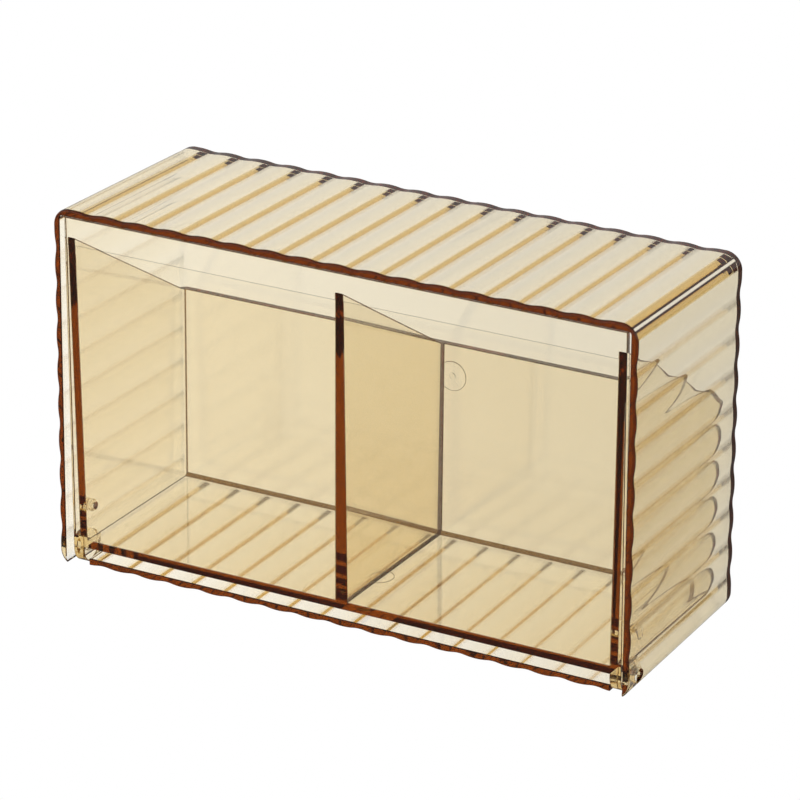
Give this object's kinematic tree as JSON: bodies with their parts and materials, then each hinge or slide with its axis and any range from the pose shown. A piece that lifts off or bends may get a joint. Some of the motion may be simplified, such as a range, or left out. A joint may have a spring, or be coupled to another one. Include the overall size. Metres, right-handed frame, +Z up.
{
  "type": "wall-mounted tilt-out bin organizer",
  "caption": "Clear amber wall organizer: a ribbed open-front casing holding a divided bin that tilts out forward on two side pins.",
  "frame": {"origin": "middle of the bounding box's bottom, level with the underside of the casing's floor", "axes": "+X to the right seen from the front, along the longest side; +Y from the open front to the flat back that goes on the wall; +Z up"},
  "size_m": [0.21, 0.077, 0.1259],
  "materials": {
    "casing_plastic": "clear moulded plastic with a light amber tint, polished",
    "bin_plastic": "clear moulded plastic with a light amber tint, polished"
  },
  "bodies": {
    "casing": {"casing": "casing_plastic"},
    "tilt_bin": {"tilt_bin": "bin_plastic"}
  },
  "joints": [
    {"name": "bin_tilt", "type": "hinge", "parent": "casing", "child": "tilt_bin", "pos_m": [0, -0.0304, 0.00582], "axis": [1, 0, 0], "range_deg": [0, 50]}
  ]
}
